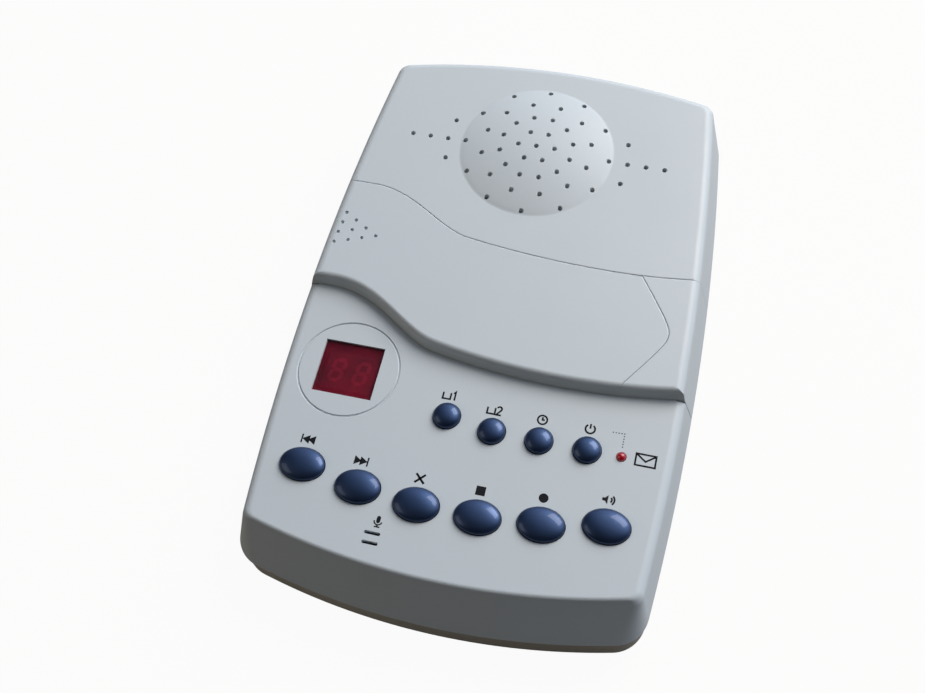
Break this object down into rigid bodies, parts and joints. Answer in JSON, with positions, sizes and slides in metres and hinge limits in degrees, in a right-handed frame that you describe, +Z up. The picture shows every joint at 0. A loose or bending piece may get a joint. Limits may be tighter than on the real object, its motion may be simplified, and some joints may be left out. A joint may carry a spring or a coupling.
{
  "type": "answering machine",
  "caption": "Low desktop answering machine: bowed two-tone case with pierced speaker dome, wave-shaped battery lid, red digit window and domed blue buttons on a sloping panel.",
  "frame": {"origin": "On the table under the middle of the body: the centre of the bounding box, at the underside of the rubber feet.", "axes": "+X to the right as a user sees it, +Y from the front edge with the large buttons towards the sockets at the back, +Z up."},
  "size_m": [0.1368, 0.205, 0.0352],
  "materials": {
    "shell": "satin",
    "base_shell": "satin",
    "button_blue": "satin gloss",
    "silicone": "matt",
    "circuit_board": "satin",
    "display_case": "matt",
    "red_filter": "gloss",
    "red_lens": "gloss",
    "steel": "satin",
    "rubber": "matt",
    "black_plastic": "satin",
    "cone_paper": "matt",
    "ferrite": "matt",
    "battery_case": "satin",
    "transformer_tape": "satin",
    "wire_red": "satin",
    "wire_grey": "satin"
  },
  "bodies": {
    "housing": {"base_tray": "base_shell", "speaker_cover": "shell", "centre_frame": "shell", "control_panel": "shell", "key_mat": "silicone", "main_board": "circuit_board", "display_module": "display_case", "display_window": "red_filter", "message_lamp": "red_lens", "microphone": "steel", "microphone_boot": "rubber", "processor_chip": "black_plastic", "memory_chip": "black_plastic", "crystal": "steel", "capacitors": "black_plastic", "speaker_frame": "steel", "speaker_cone": "cone_paper", "speaker_magnet": "ferrite", "speaker_screws": "steel", "battery": "battery_case", "battery_snap": "black_plastic", "line_board": "circuit_board", "line_socket": "black_plastic", "phone_socket": "black_plastic", "power_socket": "black_plastic", "line_transformer": "transformer_tape", "line_relay": "display_case", "volume_pot": "black_plastic", "board_ribbon": "wire_grey", "speaker_leads": "wire_red", "battery_leads": "wire_red", "case_screws": "steel", "board_screws": "steel", "rubber_feet": "rubber"},
    "repeat_button": {"repeat_button": "button_blue"},
    "skip_button": {"skip_button": "button_blue"},
    "erase_button": {"erase_button": "button_blue"},
    "stop_button": {"stop_button": "button_blue"},
    "memo_button": {"memo_button": "button_blue"},
    "greeting_button": {"greeting_button": "button_blue"},
    "mailbox_1_button": {"mailbox_1_button": "button_blue"},
    "mailbox_2_button": {"mailbox_2_button": "button_blue"},
    "time_button": {"time_button": "button_blue"},
    "power_button": {"power_button": "button_blue"},
    "battery_lid": {"battery_lid": "shell"},
    "volume_wheel": {"volume_wheel": "black_plastic"}
  },
  "joints": [
    {"name": "repeat_press", "type": "slide", "parent": "housing", "child": "repeat_button", "axis": [0, 0, -1], "range_m": [0, 0.001], "stiffness_N_per_m": 900, "springref_m": -0.0003, "deforming": ["key_mat"]},
    {"name": "skip_press", "type": "slide", "parent": "housing", "child": "skip_button", "axis": [0, 0, -1], "range_m": [0, 0.001], "stiffness_N_per_m": 900, "springref_m": -0.0003, "deforming": ["key_mat"]},
    {"name": "erase_press", "type": "slide", "parent": "housing", "child": "erase_button", "axis": [0, 0, -1], "range_m": [0, 0.001], "stiffness_N_per_m": 900, "springref_m": -0.0003, "deforming": ["key_mat"]},
    {"name": "stop_press", "type": "slide", "parent": "housing", "child": "stop_button", "axis": [0, 0, -1], "range_m": [0, 0.001], "stiffness_N_per_m": 900, "springref_m": -0.0003, "deforming": ["key_mat"]},
    {"name": "memo_press", "type": "slide", "parent": "housing", "child": "memo_button", "axis": [0, 0, -1], "range_m": [0, 0.001], "stiffness_N_per_m": 900, "springref_m": -0.0003, "deforming": ["key_mat"]},
    {"name": "greeting_press", "type": "slide", "parent": "housing", "child": "greeting_button", "axis": [0, 0, -1], "range_m": [0, 0.001], "stiffness_N_per_m": 900, "springref_m": -0.0003, "deforming": ["key_mat"]},
    {"name": "mailbox_1_press", "type": "slide", "parent": "housing", "child": "mailbox_1_button", "axis": [0, 0, -1], "range_m": [0, 0.001], "stiffness_N_per_m": 900, "springref_m": -0.0003, "deforming": ["key_mat"]},
    {"name": "mailbox_2_press", "type": "slide", "parent": "housing", "child": "mailbox_2_button", "axis": [0, 0, -1], "range_m": [0, 0.001], "stiffness_N_per_m": 900, "springref_m": -0.0003, "deforming": ["key_mat"]},
    {"name": "time_press", "type": "slide", "parent": "housing", "child": "time_button", "axis": [0, 0, -1], "range_m": [0, 0.001], "stiffness_N_per_m": 900, "springref_m": -0.0003, "deforming": ["key_mat"]},
    {"name": "power_press", "type": "slide", "parent": "housing", "child": "power_button", "axis": [0, 0, -1], "range_m": [0, 0.001], "stiffness_N_per_m": 900, "springref_m": -0.0003, "deforming": ["key_mat"]},
    {"name": "lid_slide", "type": "slide", "parent": "housing", "child": "battery_lid", "axis": [-1, 0, 0], "range_m": [0, 0.012]},
    {"name": "volume_turn", "type": "hinge", "parent": "housing", "child": "volume_wheel", "pos_m": [-0.05553, 0.058, 0.0161], "axis": [0, 0, 1], "range_deg": [-135, 135]}
  ]
}
